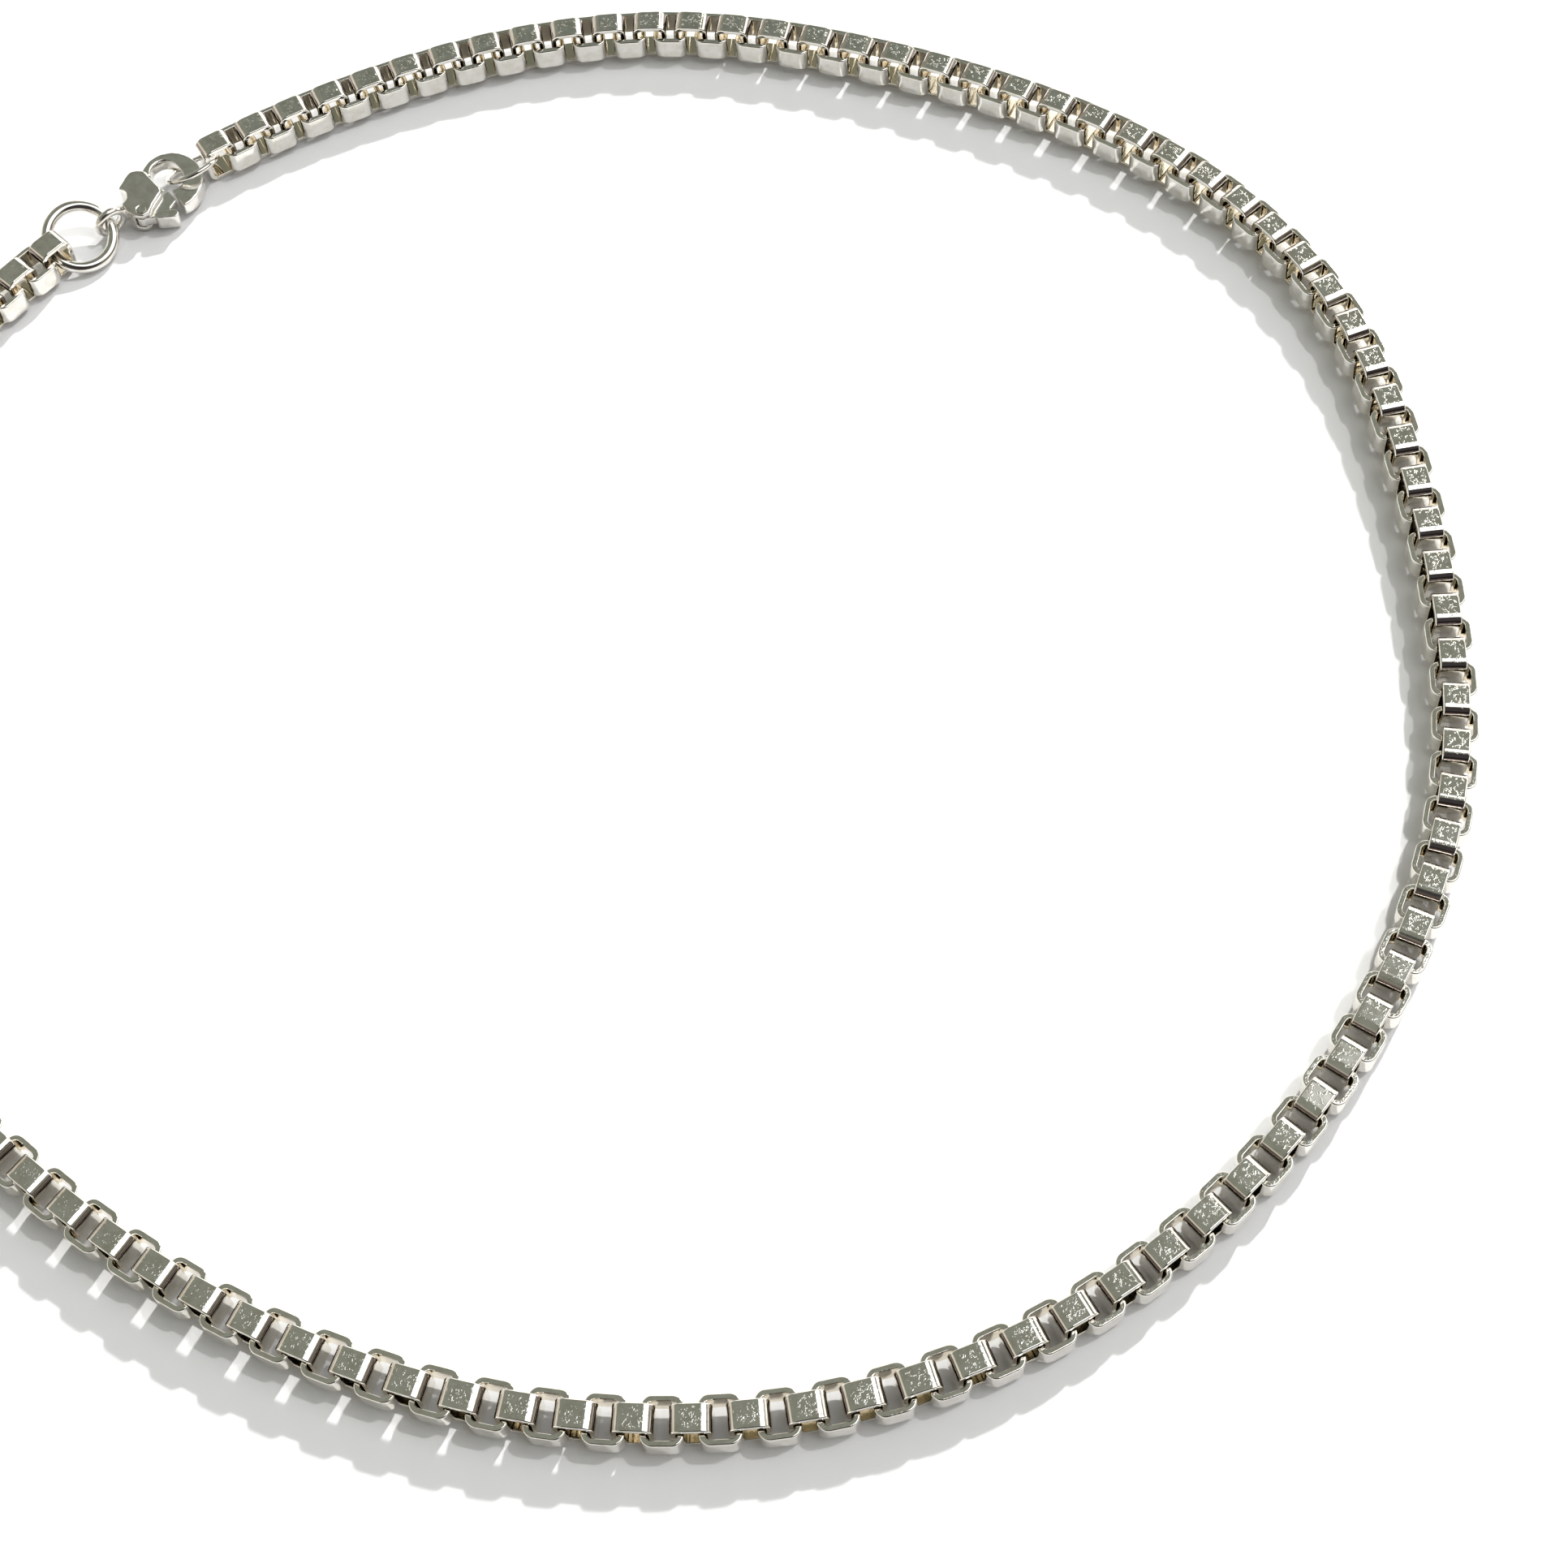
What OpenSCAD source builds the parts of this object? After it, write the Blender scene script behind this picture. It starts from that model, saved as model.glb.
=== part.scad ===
// Box chain necklace laid in a ring on a flat surface, closed by a lobster clasp.
// Millimetres, +Z up, the surface at z = 0, origin under the middle of the necklace.

/* [Links] */
// length of one link along the chain
link_len = 3.56; // [2.5:0.02:5]
// height and width of the bent ring of a link
link_w = 4.2; // [3:0.1:6]
// width of the strip a link is bent from
strip_w = 2.4; // [1.5:0.1:3.5]
// thickness of the strip
strip_t = 0.5; // [0.3:0.02:0.8]
// outside radius of the four bends
bend_r = 0.95; // [0.5:0.05:1.2]
// gap left between two neighbouring end bars when the chain is pulled straight
bar_gap = 0.18; // [0.12:0.02:0.4]
// height of a flat link's strip edge above the surface
flat_rise = 0.76; // [0.6:0.02:0.9]

/* [Clasp] */
// thickness of the clasp's body
body_t = 2.8; // [2:0.1:4]
// thickness of the hook
hook_t = 1.8; // [1.5:0.1:3]
// outside radius of the hook
hook_r = 3.15; // [2.5:0.05:5]
// radius of the hook's opening
eye_hole_r = 1.5; // [1.2:0.05:2.5]
// length added across the hook's opening
hole_stretch = 0.7; // [0:0.1:1.5]
// thickness of the lever
tongue_t = 1.2; // [0.6:0.1:1.6]
// length of the thumb knob across the clasp
knob_w = 2; // [1.2:0.1:2.6]
// gap on each side of the lever
tongue_gap = 0.12; // [0.1:0.02:0.3]
// gap between the lever and the hook's tip
lever_gap = 0.2; // [0.15:0.05:0.4]
// radius of the lever's rivet
pin_r = 0.4; // [0.3:0.05:0.6]
// radial clearance of the rivet in the lever
pin_fit = 0.05; // [0.02:0.01:0.1]
// wire radius of the tail eye
tail_wire_r = 0.45; // [0.4:0.05:0.8]
// centre-line radius of the tail eye
tail_r = 1.45; // [1.2:0.05:2]
// lean of the clasp's face about its length
clasp_lean = 8; // [0:1:15]
// height of the clasp's middle plane above the surface
clasp_rise = 1.95; // [1.7:0.05:2.5]

/* [Rings] */
// centre-line radius of the jump ring between chain and tail eye
jump_r = 3.3; // [2.2:0.05:3.8]
// wire radius of the jump ring
jump_wire_r = 0.6; // [0.4:0.05:0.7]
// slope of the jump ring
jump_lean = 22; // [0:1:30]
// centre-line radius of the end ring caught in the hook
end_r = 2.85; // [2.6:0.05:3]
// wire radius of the end ring
end_wire_r = 0.28; // [0.25:0.05:0.5]
// slope of the end ring
end_lean = 36; // [30:1:38]
// height of both rings' centres above the surface
ring_rise = 2.05; // [1.8:0.05:2.2]
// distance from a ring's wire to the middle of the end link that it holds
ring_seat = 0.38; // [0.3:0.01:0.5]

/* [Hidden] */
$fn = 48;

// route of the chain: [x, y, slack share of the pitch], one point every 20 mm or so, closed
route = [
  [-60, 47.5, 0.09], [-44.5, 59.5, 0.12], [-27, 68, 0.11], [-8, 73.5, 0.1],
  [11.5, 74, 0.08], [30, 67.5, 0.07], [47.5, 58.5, 0.08], [63, 46.5, 0.07],
  [73.5, 29.5, 0.04], [76, 9.5, 0.01], [76, -10, 0.02], [72.5, -28.5, 0.04],
  [62, -46, 0.04], [48, -60, 0.03], [31, -70, 0.05], [11.5, -74.5, 0.03],
  [-8, -73, 0.03], [-26.5, -66.5, 0.01], [-43, -56, 0.01], [-57.5, -42.5, 0.01],
  [-69.5, -27, 0.02], [-76.5, -8.5, 0.05], [-77, 11.5, 0.07], [-71.5, 31.5, 0.08]
];
// shift that puts the origin under the middle of the necklace
route_shift = [0.32, 0.09];
// the clasp's own place: middle of the hook and direction from tail to nose
clasp_at = [-42.05, 60.15];
clasp_turn = 33;
// distance from the route's start back to the middle of the hook
clasp_run = 2.45;
// stations along the clasp's length
tail_x = -7.5;
end_x = 2.62;
// distance from the tail eye's middle back to the jump ring's wire
eye_seat = 0.2;
jump_x = tail_x - eye_seat - jump_r;
// sideways places of the tail eye and of the two rings
tail_y = -0.35;
jump_y = -0.1;
end_y = -0.1;
// left face of the hook's tip
tip_x = -0.75;
rivet_at = [-4.6, -1.9, 0];

// samples of the route per point
per_point = 24;
samples = len(route) * per_point;

// weights of a uniform cubic B-spline
function weights(f) = [pow(1 - f, 3) / 6, (3 * pow(f, 3) - 6 * f * f + 4) / 6,
  (1 + 3 * f + 3 * f * f - 3 * pow(f, 3)) / 6, pow(f, 3) / 6];
function route_at(i, f) = weights(f) * [for (k = [0 : 3]) route[(i + k) % len(route)]];
trail = [for (j = [0 : samples]) route_at(floor(j / per_point), (j % per_point) / per_point)];
function flat2(p) = [p[0], p[1]];
// distance along the route at each sample
along = [for (j = 0, s = 0; j <= samples;
  s = s + (j < samples ? norm(flat2(trail[j + 1]) - flat2(trail[j])) : 0), j = j + 1) s];
trail_x = [for (j = [0 : samples]) [along[j], trail[j][0]]];
trail_y = [for (j = [0 : samples]) [along[j], trail[j][1]]];

// half pitch of a straight, taut chain
half_taut = link_len - 2 * strip_t - bar_gap;
// steps counted along the route, slack taken into account
steps = [for (j = 0, q = 0; j <= samples;
  q = q + (j < samples ? (along[j + 1] - along[j]) / (half_taut * (1 - trail[j][2])) : 0),
  j = j + 1) q];
steps_of_run = [for (j = [0 : samples]) [along[j], steps[j]]];
run_of_steps = [for (j = [0 : samples]) [steps[j], along[j]]];
first_run = clasp_run + end_x + end_r + ring_seat;
last_run = along[samples] + clasp_run + jump_x - jump_r - ring_seat;
first_step = lookup(first_run, steps_of_run);
last_step = lookup(last_run, steps_of_run);
// an even number of steps, so an upright link is at each end
step_count = 2 * round((last_step - first_step) / 2);
// distance that each end link is drawn out by its ring
end_pull = 0.2;
function run_of(i) = lookup(first_step + (last_step - first_step) * i / step_count, run_of_steps)
  + (i == 0 ? -end_pull : i == step_count ? end_pull : 0);
function spot(s) = [lookup(s, trail_x), lookup(s, trail_y)] + route_shift;
function heading(s) = let (d = spot(s + 0.6) - spot(s - 0.6)) atan2(d[1], d[0]);

// rectangle with four round corners, made of exact arcs
module round_rect(a, b, r) {
  square([a - 2 * r, b], center = true);
  square([a, b - 2 * r], center = true);
  for (x = [-1, 1], y = [-1, 1]) {
    translate([x * (a / 2 - r), y * (b / 2 - r)]) circle(r = r);
  }
}

// a strip bent into a closed box ring, its opening along Z
module link_ring() {
  linear_extrude(height = strip_w, center = true) difference() {
    round_rect(link_len, link_w, bend_r);
    round_rect(link_len - 2 * strip_t, link_w - 2 * strip_t, bend_r - strip_t);
  }
}

module upright_link() {
  translate([0, 0, link_w / 2]) rotate([90, 0, 0]) link_ring();
}

module flat_link() {
  translate([0, 0, flat_rise + strip_w / 2]) link_ring();
}

module chain() {
  color([0.72, 0.71, 0.69]) for (i = [0 : step_count]) {
    s = run_of(i);
    translate([spot(s)[0], spot(s)[1], 0]) rotate([0, 0, heading(s)]) {
      if (i % 2 == 0) upright_link();
      if (i % 2 == 1) flat_link();
    }
  }
}

// places a piece drawn in the clasp's own plane
module in_clasp() {
  translate([clasp_at[0], clasp_at[1], clasp_rise] + [route_shift[0], route_shift[1], 0])
    rotate([0, 0, clasp_turn]) rotate([clasp_lean, 0, 0]) children();
}

// places a ring on the clasp's line with its own slope
module on_line(x, y, lean) {
  translate([clasp_at[0], clasp_at[1], ring_rise] + [route_shift[0], route_shift[1], 0])
    rotate([0, 0, clasp_turn]) translate([x, y, 0]) rotate([lean, 0, 0]) children();
}

module torus(r, wire) {
  rotate_extrude() translate([r, 0]) circle(r = wire);
}

module hook_outline() {
  difference() {
    union() {
      translate([0.05, -0.25]) circle(r = hook_r);
      polygon([[3.2, -0.25], [3.1, -1.2], [2.75, -2.05], [2.05, -2.9], [1.05, -3.55], [0.1, -3.8],
        [tip_x, -3.8], [tip_x, -0.25]]);
    }
    // the opening
    for (y = [-0.5, 0.5]) translate([-0.1, 0.3 + y * hole_stretch]) circle(r = eye_hole_r);
    translate([-0.1 - eye_hole_r, 0.3 - hole_stretch / 2]) square([2 * eye_hole_r, hole_stretch]);
    // the mouth that the lever closes
    translate([-6, -7]) square([6 + tip_x, 5.9]);
    translate([-6, -4]) square([3.2, 6]);
  }
}

module body_outline() {
  polygon([[-1.8, 1.9], [-2.4, 2.35], [-2.95, 2.6], [-3.4, 2.5], [-4.1, 2.15], [-5.1, 1.6],
    [-4.75, 1.2], [-4.7, 0.75], [-4.95, 0.25], [-5.35, 0], [-5.8, -0.1], [-5.8, -1.3], [-5.5, -2.1],
    [-4.9, -2.65], [-4.1, -2.7], [-3.3, -2.1], [-1.8, -1.35], [-1.6, -0.9]]);
}

module clasp_body() {
  color([0.7, 0.69, 0.67]) in_clasp() difference() {
    union() {
      linear_extrude(height = body_t, center = true) body_outline();
      linear_extrude(height = hook_t, center = true) hook_outline();
      // tail eye, its opening across the clasp
      translate([tail_x, tail_y, 0]) rotate([90, 0, 0]) torus(tail_r, tail_wire_r);
    }
    // slot for the lever
    translate([-5.5, -4, -tongue_t / 2 - tongue_gap]) cube([4.5, 4.35, tongue_t + 2 * tongue_gap]);
    // rivet hole
    translate(rivet_at) cylinder(r = pin_r, h = 2 * body_t, center = true);
  }
}

module trigger_outline() {
  translate([rivet_at[0], rivet_at[1]]) circle(r = 0.75);
  polygon([[-4.7, -1.15], [tip_x - lever_gap, -1.15], [tip_x - lever_gap, -2.6], [-1.9, -3],
    [-2.2, -3.4], [-3.2, -3.4], [-4.5, -2.65]]);
}

module clasp_trigger() {
  color([0.68, 0.67, 0.65]) in_clasp() difference() {
    union() {
      linear_extrude(height = tongue_t, center = true) trigger_outline();
      // thumb knob
      translate([-2.7, -3.6, 0]) rotate([0, 0, -30]) cube([1.5, 0.9, knob_w], center = true);
      for (x = [-0.75, 0.75]) translate([-2.7, -3.6, 0]) rotate([0, 0, -30]) translate([x, 0, 0])
        cylinder(r = 0.45, h = knob_w, center = true);
    }
    translate(rivet_at) cylinder(r = pin_r + pin_fit, h = 2 * body_t, center = true);
  }
}

module trigger_pin() {
  color([0.6, 0.59, 0.57]) in_clasp() translate(rivet_at)
    cylinder(r = pin_r, h = body_t + 0.1, center = true);
}

module jump_ring() {
  color([0.7, 0.69, 0.67]) on_line(jump_x, jump_y, jump_lean) torus(jump_r, jump_wire_r);
}

module end_ring() {
  color([0.7, 0.69, 0.67]) on_line(end_x, end_y, -end_lean) torus(end_r, end_wire_r);
}

chain();
clasp_body();
clasp_trigger();
trigger_pin();
jump_ring();
end_ring();
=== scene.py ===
import math
import random

import bmesh
import bpy
import numpy as np
from mathutils import Matrix, Vector


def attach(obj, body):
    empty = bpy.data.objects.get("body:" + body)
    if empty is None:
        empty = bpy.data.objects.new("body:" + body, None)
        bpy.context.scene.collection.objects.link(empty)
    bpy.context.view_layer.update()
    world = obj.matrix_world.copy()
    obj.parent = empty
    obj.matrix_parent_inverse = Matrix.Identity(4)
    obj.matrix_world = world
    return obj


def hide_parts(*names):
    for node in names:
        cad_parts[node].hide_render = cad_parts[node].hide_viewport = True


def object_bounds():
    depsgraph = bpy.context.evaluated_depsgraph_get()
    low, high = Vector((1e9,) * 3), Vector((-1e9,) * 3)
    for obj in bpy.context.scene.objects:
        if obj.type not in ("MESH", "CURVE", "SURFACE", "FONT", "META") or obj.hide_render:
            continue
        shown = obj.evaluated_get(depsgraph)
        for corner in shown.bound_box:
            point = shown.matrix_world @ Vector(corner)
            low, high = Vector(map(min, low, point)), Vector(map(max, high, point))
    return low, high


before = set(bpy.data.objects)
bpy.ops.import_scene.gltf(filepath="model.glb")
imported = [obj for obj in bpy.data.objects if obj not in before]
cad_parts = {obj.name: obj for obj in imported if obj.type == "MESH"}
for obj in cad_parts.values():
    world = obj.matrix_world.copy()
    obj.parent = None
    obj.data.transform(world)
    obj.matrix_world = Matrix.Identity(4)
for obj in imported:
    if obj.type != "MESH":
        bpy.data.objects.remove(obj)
cad_lo, cad_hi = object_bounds()
scene = bpy.context.scene
scene.view_settings.view_transform = "Standard"
MM = 0.001
rng = random.Random(7)

# camera: tilt below level and lean in degrees, place in mm
THETA, ROLL = math.radians(62.3), math.radians(-6)
CAMERA_AT = (14.52, -129.41, 216.4)
look = Vector((0, math.cos(THETA), -math.sin(THETA)))
right0 = Vector((1, 0, 0))
up0 = Vector((0, math.sin(THETA), math.cos(THETA)))
right = math.cos(ROLL) * right0 + math.sin(ROLL) * up0
up = -math.sin(ROLL) * right0 + math.cos(ROLL) * up0
cam_data = bpy.data.cameras.new("camera")
cam_data.sensor_width = 36
cam_data.lens = 62.05
cam_data.clip_start = 0.01
cam_data.clip_end = 10
cam = bpy.data.objects.new("camera", cam_data)
scene.collection.objects.link(cam)
place = Matrix((right, up, -look)).transposed().to_4x4()
place.translation = Vector(CAMERA_AT) * MM
cam.matrix_world = place
scene.camera = cam


class Graph:
    """Short way to add and link shader nodes."""

    def __init__(self, tree):
        self.tree = tree

    def add(self, kind, **settings):
        """New node: p_NAME sets a property, iNUMBER or a socket's name an input."""
        node = self.tree.nodes.new(kind)
        for key, value in settings.items():
            if key.startswith("p_"):
                setattr(node, key[2:], value)
                continue
            socket = node.inputs[int(key[1:]) if key[1:].isdigit() else key]
            if isinstance(value, bpy.types.NodeSocket):
                self.tree.links.new(value, socket)
            else:
                socket.default_value = value
        return node

    def math(self, operation, a, b=0.0, c=0.0):
        return self.add("ShaderNodeMath", p_operation=operation, i0=a, i1=b, i2=c).outputs[0]

    def span(self, value, start, end, lo=0.0, hi=1.0, kind="SMOOTHSTEP"):
        """lo up to start, hi from end on, blended between."""
        node = self.add("ShaderNodeMapRange", p_interpolation_type=kind,
                        i0=value, i1=start, i2=end, i3=lo, i4=hi)
        return node.outputs[0]

    def mix(self, share, a, b):
        return self.add("ShaderNodeMix", p_data_type="RGBA", i0=share, i6=a, i7=b).outputs[2]

    def noise(self, at, scale, detail, rough=0.5):
        node = self.add("ShaderNodeTexNoise", Vector=at, Scale=scale, Detail=detail, Roughness=rough)
        return node.outputs["Fac"]

    def uv(self, layer):
        at = self.add("ShaderNodeUVMap", p_uv_map=layer).outputs[0]
        return self.add("ShaderNodeSeparateXYZ", i0=at).outputs[:2]


# room that the silver mirrors: greenish ceiling over brown walls, colours by direction
CEILING = (0.225, 0.238, 0.2, 1)
CEILING_FROM, WALLS_BELOW = 0.5, 0.38
WALLS = (0.24, 0.21, 0.165, 1)
WALLS_LEFT = (0.7, 0.65, 0.56, 1)
WALLS_KEY = (1.6, 1.58, 1.5, 1)
BACKDROP = (0.93, 0.93, 0.94, 1)
# areas: direction, degrees round it that are full and where it ends, share, colour
AREAS = (
    # dark near side
    ((0.1, -0.78, 0.62), 28, 35, 1.0, (0.045, 0.04, 0.042, 1)),
    # large bright panel on the right-hand side of the ceiling
    ((0.52, 0.0, 0.854), 25.5, 27.5, 1.0, (1.75, 1.77, 1.8, 1)),
    # darker ceiling towards the far side
    ((-0.03, 0.69, 0.72), 4, 14, 0.8, (0.16, 0.178, 0.155, 1)),
    # pool of light round the key
    ((0.476, 0.679, 0.559), 2, 6, 1.0, (13, 12.7, 12.2, 1)),
)

world = bpy.data.worlds.new("room")
scene.world = world
world.use_nodes = True
world.node_tree.nodes.clear()
g = Graph(world.node_tree)
coord = g.add("ShaderNodeTexCoord").outputs["Generated"]
wx, wy, wz = g.add("ShaderNodeSeparateXYZ", i0=coord).outputs[:3]
# walls paler on the left and bright on the key's side
keyward = g.math("MULTIPLY_ADD", wx, 0.57, g.math("MULTIPLY", wy, 0.82))
walls = g.mix(g.span(wx, -0.3, -0.8), WALLS, WALLS_LEFT)
walls = g.mix(g.span(keyward, 0.6, 0.85), walls, WALLS_KEY)
col = g.mix(g.span(wz, CEILING_FROM, WALLS_BELOW), CEILING, walls)
for toward, full, end, share, colour in AREAS:
    dot = g.add("ShaderNodeVectorMath", p_operation="DOT_PRODUCT", i0=coord, i1=toward).outputs["Value"]
    spot = g.span(dot, math.cos(math.radians(end)), math.cos(math.radians(full)))
    col = g.mix(g.math("MULTIPLY", spot, share), col, colour)
# pale backdrop behind the table, which lights nothing
col = g.mix(g.add("ShaderNodeLightPath").outputs["Is Camera Ray"], col, BACKDROP)
bg = g.add("ShaderNodeBackground", Color=col, Strength=1.0)
g.add("ShaderNodeOutputWorld", Surface=bg.outputs[0])


def lamp(name, kind, energy, **settings):
    """Light that the silver doesn't mirror."""
    data = bpy.data.lights.new(name, kind)
    data.energy = energy
    for key, value in settings.items():
        setattr(data, key, value)
    o = bpy.data.objects.new(name, data)
    o.visible_glossy = False
    scene.collection.objects.link(o)
    return o


def sun(name, azimuth, elevation, energy, width):
    """Warm sun at an azimuth from the far side, clockwise; angles in degrees."""
    o = lamp(name, "SUN", energy, angle=math.radians(width), color=(1.0, 0.985, 0.96))
    az, el = math.radians(azimuth), math.radians(elevation)
    toward = Vector((math.sin(az) * math.cos(el), math.cos(az) * math.cos(el), math.sin(el)))
    o.rotation_mode = "QUATERNION"
    o.rotation_quaternion = toward.to_track_quat("Z", "Y")


sun("key", 35, 34, 2.7, 2)
sun("second", 70, 60, 0.65, 2.5)
# soft fill over the far side
lamp("fill", "AREA", 0.1, shape="DISK", size=0.3).location = (0.0, 0.19, 0.3)

# pale floor, half its side in metres
FLOOR_HALF = 2.5
bm = bmesh.new()
bmesh.ops.create_grid(bm, x_segments=1, y_segments=1, size=FLOOR_HALF)
fm = bpy.data.meshes.new("floor")
bm.to_mesh(fm)
bm.free()
floor = bpy.data.objects.new("floor", fm)
scene.collection.objects.link(floor)
mat = bpy.data.materials.new("floor")
mat.use_nodes = True
shader = mat.node_tree.nodes["Principled BSDF"]
shader.inputs["Base Color"].default_value = (0.895, 0.9, 0.915, 1)
shader.inputs["Roughness"].default_value = 0.8
shader.inputs["Specular IOR Level"].default_value = 0.2
floor.data.materials.append(mat)

# silver: cloudy tarnish as a factor on the base colour, brown tarnish and painted shade inside the links,
# a painted dark reflection by the bends
CLOUDS = (0.86, 0.84, 0.8)
# inner faces: brown tarnish, also darkened as painted shade for the gaps between links
TARNISH_AND_PAINTED_SHADE_INSIDE = (0.82, 0.74, 0.6, 1)
# colour of the painted dark reflection across the ends of the upright links' outer faces
PAINTED_DARK_REFLECTION = (0.28, 0.235, 0.22, 1)
# pits' depth: castings, rings and rivet; flat links; upright links outside and inside the pitted middle
PITS_PLAIN, PITS_FLAT, PITS_RUBBED, PITS_WORN = 0.01, 0.12, 0.02, 0.27
ROUGH_WORN = 0.09


def silver(name, base, rough, link=None):
    """Polished silver; link is None, "flat", or "upright" with a pitted middle and rubbed ends."""
    m = bpy.data.materials.new(name)
    m.use_nodes = True
    q = Graph(m.node_tree)
    p = m.node_tree.nodes["Principled BSDF"]
    at = q.add("ShaderNodeTexCoord").outputs["Object"]
    dark = tuple(c * k for c, k in zip(base, CLOUDS)) + (1,)
    colour = q.mix(q.span(q.noise(at, 900.0, 3.0, 0.6), 0.35, 0.75), base + (1,), dark)
    fine = q.noise(at, 3200.0, 2.0, 0.6)
    if link:
        inside = q.uv("inside")[0]
        # brown tarnish on the inner faces, which also works as painted shade in the gaps between links
        colour = q.mix(q.span(inside, 0.5, 1.0), colour, TARNISH_AND_PAINTED_SHADE_INSIDE)
    if link == "upright":
        along, across = (q.math("ABSOLUTE", q.math("SUBTRACT", s, 0.5)) for s in q.uv("strip"))
        # painted dark reflection: a dark band across each end of the outer face, short of its edges,
        # standing in for the dark room that the bends mirror
        dark_reflection_mask = q.math("MULTIPLY", q.span(along, 0.27, 0.287), q.span(along, 0.32, 0.308))
        dark_reflection_mask = q.math("MULTIPLY", dark_reflection_mask, q.span(across, 0.32, 0.3))
        colour = q.mix(dark_reflection_mask, colour, PAINTED_DARK_REFLECTION)
        # worn middle of the outer face, with an uneven edge
        edge = q.math("MULTIPLY_ADD", q.noise(at, 2000.0, 2.0), 0.24, -0.12)
        near = q.math("MAXIMUM", q.math("MULTIPLY", along, 1.1), across)
        worn = q.math("MULTIPLY", q.span(q.math("ADD", near, edge), 0.25, 0.19), q.span(inside, 0.5, 0.1))
        roughness = q.span(worn, 0.0, 1.0, rough, ROUGH_WORN, kind="LINEAR")
        depth = q.span(worn, 0.0, 1.0, PITS_RUBBED, PITS_WORN, kind="LINEAR")
        pits = q.span(fine, 0.54, 0.68)
    else:
        roughness = q.span(fine, 0.3, 0.75, rough * 0.8, rough * (1.4 if link else 1.1))
        depth = PITS_FLAT if link else PITS_PLAIN
        pits = fine
    # shallow waves of the rolled strip under the fine pits
    waves = q.add("ShaderNodeBump", Distance=0.00002, Height=q.noise(at, 420.0, 1.0), Strength=0.5)
    bump = q.add("ShaderNodeBump", Distance=0.00009, Height=pits, Normal=waves.outputs[0], Strength=depth)
    p.inputs["Metallic"].default_value = 1.0
    m.node_tree.links.new(colour, p.inputs["Base Color"])
    m.node_tree.links.new(roughness, p.inputs["Roughness"])
    m.node_tree.links.new(bump.outputs[0], p.inputs["Normal"])
    return m


M_up = silver("silver_upright", (0.96, 0.935, 0.88), 0.08, link="upright")
M_flat = silver("silver_flat", (0.97, 0.945, 0.89), 0.07, link="flat")
M_clasp = silver("silver_cast", (0.9, 0.88, 0.84), 0.2)
M_lever = silver("silver_lever", (0.9, 0.88, 0.84), 0.2)
M_rings = silver("silver_wire", (0.88, 0.865, 0.83), 0.12)
M_pin = silver("silver_rivet", (0.86, 0.845, 0.81), 0.2)


# one link in mm: its size, its strip, and the radii of the strip's outer and inner edges
LEN, WID, STRIP, THICK, BEND = 3.56, 4.2, 2.4, 0.53, 1.0
EDGE_OUT, EDGE_IN = 0.16, 0.11
BEND_STEPS, EDGE_STEPS = 7, 2
# the strip layer's width in link lengths and strip widths
UV_WIDE = 1.5


def turned(start, steps):
    """Cosine and sine at the steps of a quarter turn that begins at start degrees."""
    angles = [math.radians(start + 90 * k / steps) for k in range(steps + 1)]
    return [(math.cos(a), math.sin(a)) for a in angles]


def link_shape():
    """One link about its middle, ring in the x-z plane: points, normals, quads, both uv layers."""
    path = []
    for cx, cz, start in ((1, 1, 0), (-1, 1, 90), (-1, -1, 180), (1, -1, 270)):
        for n in turned(start, BEND_STEPS):
            path.append((cx * (LEN / 2 - BEND) + BEND * n[0], cz * (WID / 2 - BEND) + BEND * n[1], n))
    # section: distance out from the path, place across the strip, normal
    h = STRIP / 2
    section = []
    for out, side, radius, start in ((0, h, EDGE_OUT, 0), (-THICK, h, EDGE_IN, 90),
                                     (-THICK, -h, EDGE_IN, 180), (0, -h, EDGE_OUT, 270)):
        sx = 1 if out == 0 else -1
        sy = 1 if side > 0 else -1
        for c, s in turned(start, EDGE_STEPS):
            section.append((out - sx * radius + radius * c, side - sy * radius + radius * s, c, s))
    points, normals, uvs, quads = [], [], [], []
    for x, z, n in path:
        for out, side, c, s in section:
            points.append((x + out * n[0], side, z + out * n[1]))
            normals.append((c * n[0], s, c * n[1]))
            uvs.append(((x + out * n[0]) / LEN / UV_WIDE + 0.5, side / STRIP / UV_WIDE + 0.5,
                        max(0.0, -c), 0.0))
    rows, columns = len(path), len(section)
    for i in range(rows):
        a, b = i * columns, (i + 1) % rows * columns
        for k in range(columns):
            k2 = (k + 1) % columns
            quads.append((a + k, a + k2, b + k2, b + k))
    return np.array(points), np.array(normals), np.array(quads), np.array(uvs)


WELD = 1e-7


def islands(obj):
    """Middle and height of each loose solid of a CAD node, in mm."""
    bm = bmesh.new()
    bm.from_mesh(obj.data)
    bmesh.ops.remove_doubles(bm, verts=bm.verts, dist=WELD)
    bm.verts.ensure_lookup_table()
    seen, middles, heights = set(), [], []
    for v in bm.verts:
        if v.index in seen:
            continue
        stack, points = [v], []
        seen.add(v.index)
        while stack:
            a = stack.pop()
            points.append(tuple(a.co))
            for e in a.link_edges:
                o = e.other_vert(a)
                if o.index not in seen:
                    seen.add(o.index)
                    stack.append(o)
        p = np.array(points) * 1000
        middles.append((p.min(0) + p.max(0)) / 2)
        heights.append(p.max(0)[2] - p.min(0)[2])
    bm.free()
    return np.array(middles), np.array(heights)


# clasp's place, where the order of the links starts, and the height between flat and upright links, in mm
CLASP_AT = (-43.5, 58.5)
UPRIGHT_FROM = 3.2
# random turn of each link, degrees either way
TURN = 0.7

mid, height = islands(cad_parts["chain"])
ang = (math.atan2(CLASP_AT[1], CLASP_AT[0]) - np.arctan2(mid[:, 1], mid[:, 0])) % (2 * math.pi)
order = np.argsort(ang)
mid, tall = mid[order], height[order] > UPRIGHT_FROM
N = len(mid)
print("links", N, "upright", int(tall.sum()))

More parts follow.
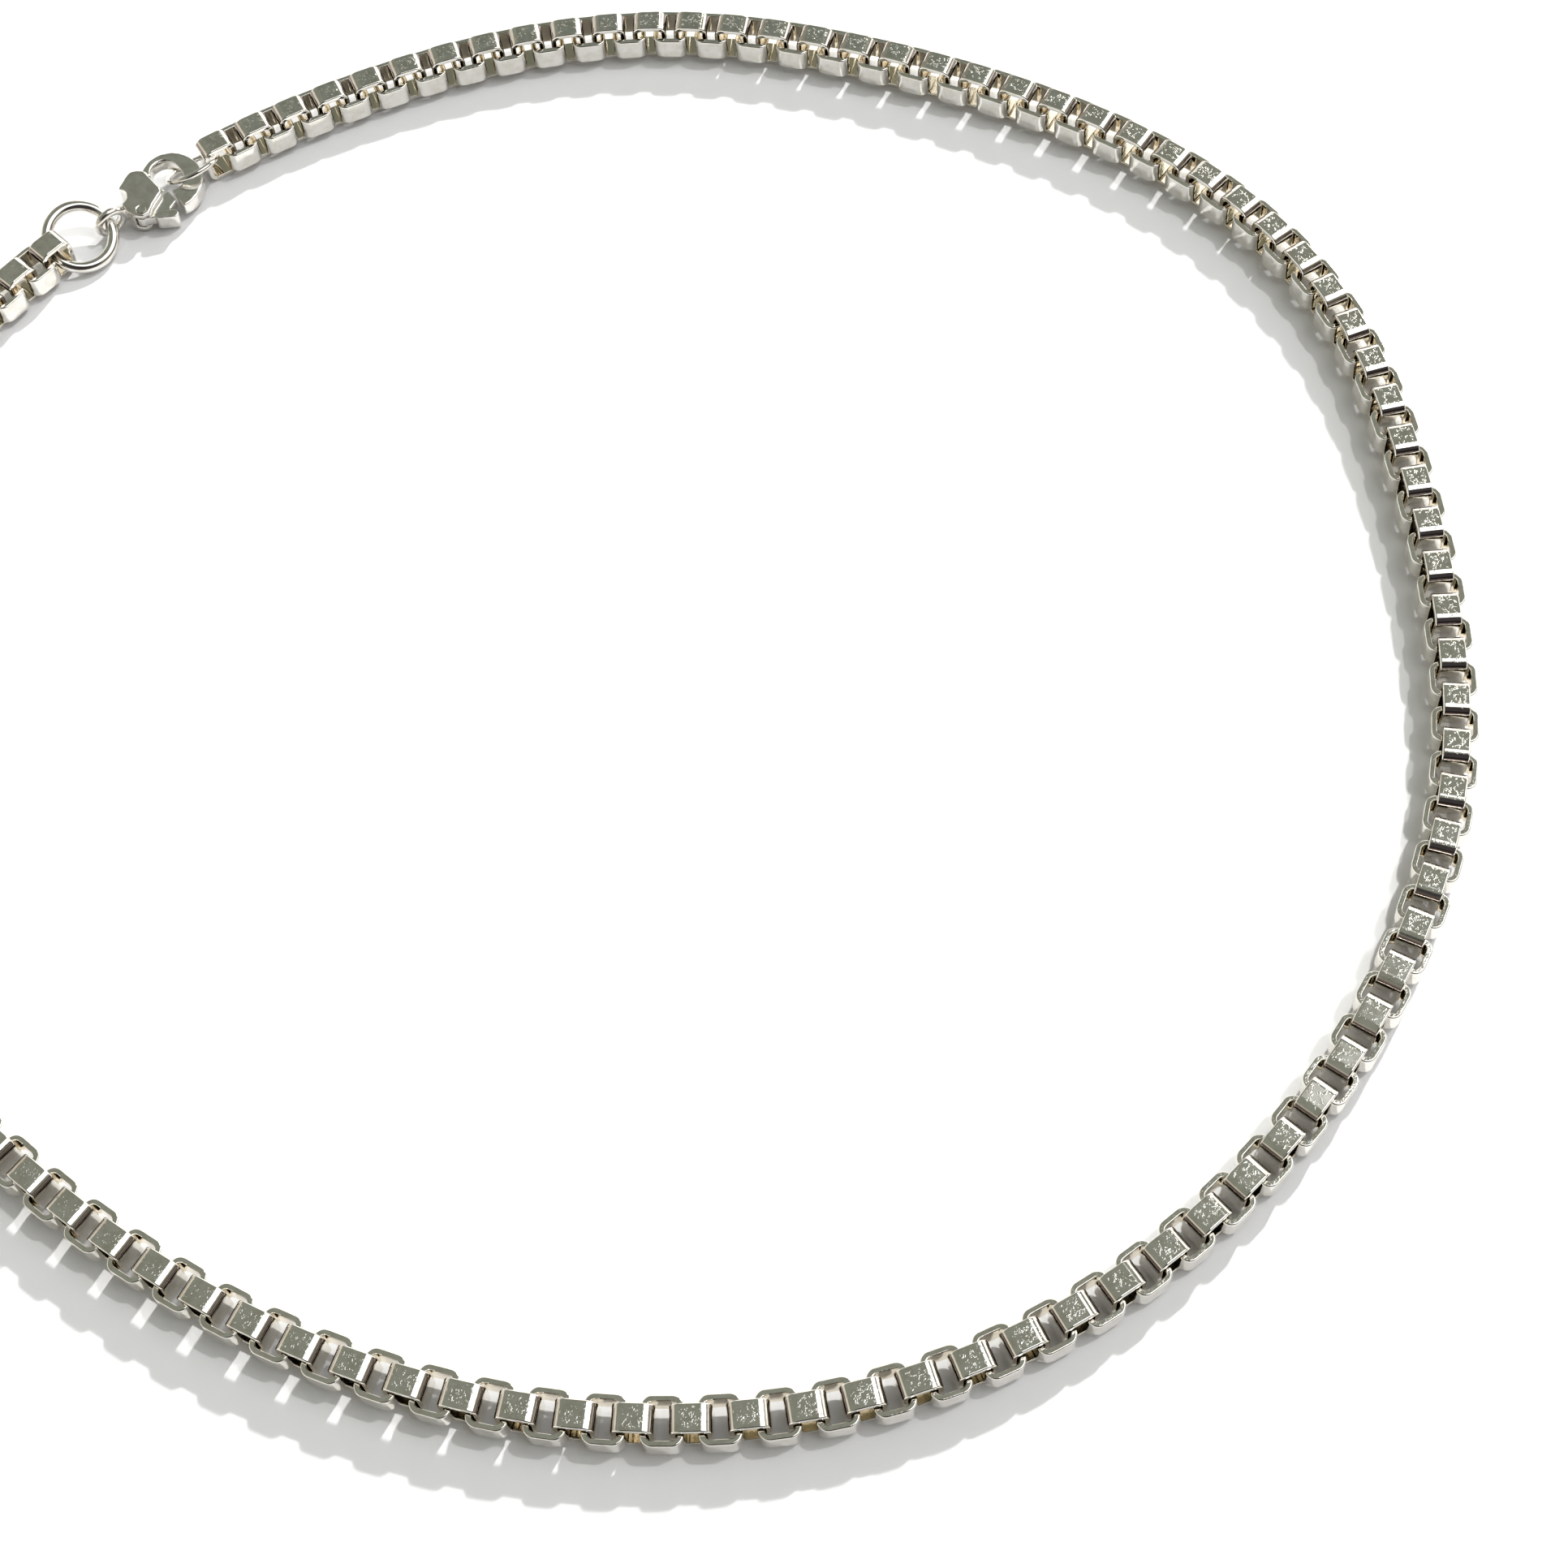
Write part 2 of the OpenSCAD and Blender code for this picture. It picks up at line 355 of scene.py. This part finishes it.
pts0, nor0, quads0, uv0 = link_shape()
box = np.array(cad_lo) / MM, np.array(cad_hi) / MM
links = {True: [], False: []}
for i in range(N):
    ahead = mid[min(i + 1, N - 1)] - mid[max(i - 1, 0)]
    R = Matrix.Rotation(math.atan2(ahead[1], ahead[0]), 3, "Z")
    if not tall[i]:
        R = R @ Matrix.Rotation(math.radians(90), 3, "X")
    turn_y = Matrix.Rotation(math.radians(rng.uniform(-TURN, TURN)), 3, "Y")
    turn_x = Matrix.Rotation(math.radians(rng.uniform(-TURN, TURN)), 3, "X")
    R = np.array(R @ (turn_y @ turn_x))
    links[bool(tall[i])].append((np.clip(pts0 @ R.T + mid[i], *box), nor0 @ R.T))

body_root = "necklace"
for up_right, name in ((True, "upright_links"), (False, "flat_links")):
    count = len(links[up_right])
    points = np.vstack([p for p, n in links[up_right]]) * MM
    normals = np.vstack([n for p, n in links[up_right]])
    quads = np.vstack([quads0 + k * len(pts0) for k in range(count)])
    me = bpy.data.meshes.new(name)
    me.from_pydata(points.tolist(), [], quads.tolist())
    me.update()
    me.polygons.foreach_set("use_smooth", [True] * len(me.polygons))
    me.normals_split_custom_set_from_vertices(normals.tolist())
    ids = np.empty(len(me.loops), dtype=np.int32)
    me.loops.foreach_get("vertex_index", ids)
    uv = np.tile(uv0, (count, 1))[ids]
    for k, layer in enumerate(("strip", "inside")):
        me.uv_layers.new(name=layer).data.foreach_set("uv", uv[:, 2 * k:2 * k + 2].ravel())
    o = bpy.data.objects.new(name, me)
    scene.collection.objects.link(o)
    me.materials.append(M_up if up_right else M_flat)
    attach(o, body_root)
    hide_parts("chain")


def casting(node, name, material, voxel, rounds, body):
    """CAD node's solid with its edges softened; voxel in mm, rounds of smoothing."""
    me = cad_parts[node].data.copy()
    o = bpy.data.objects.new(name, me)
    scene.collection.objects.link(o)
    me.materials.clear()
    bm = bmesh.new()
    bm.from_mesh(me)
    bmesh.ops.remove_doubles(bm, verts=bm.verts, dist=WELD)
    bm.to_mesh(me)
    bm.free()
    remesh = o.modifiers.new("remesh", "REMESH")
    remesh.mode = "VOXEL"
    remesh.voxel_size = voxel * MM
    smooth = o.modifiers.new("smooth", "SMOOTH")
    smooth.factor = 0.5
    smooth.iterations = rounds
    view = bpy.context.evaluated_depsgraph_get()
    cast = bpy.data.meshes.new_from_object(o.evaluated_get(view))
    o.modifiers.clear()
    o.data = cast
    cast.name = name
    cast.polygons.foreach_set("use_smooth", [True] * len(cast.polygons))
    cast.materials.clear()
    cast.materials.append(material)
    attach(o, body)
    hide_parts(node)
    print(name, len(cast.polygons), "faces")


casting("clasp_body", "clasp_casting", M_clasp, 0.07, 50, "necklace")
casting("clasp_trigger", "clasp_lever", M_lever, 0.06, 20, "trigger")
for node, m in (("trigger_pin", M_pin), ("jump_ring", M_rings), ("end_ring", M_rings)):
    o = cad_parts[node]
    o.data.materials.clear()
    o.data.materials.append(m)
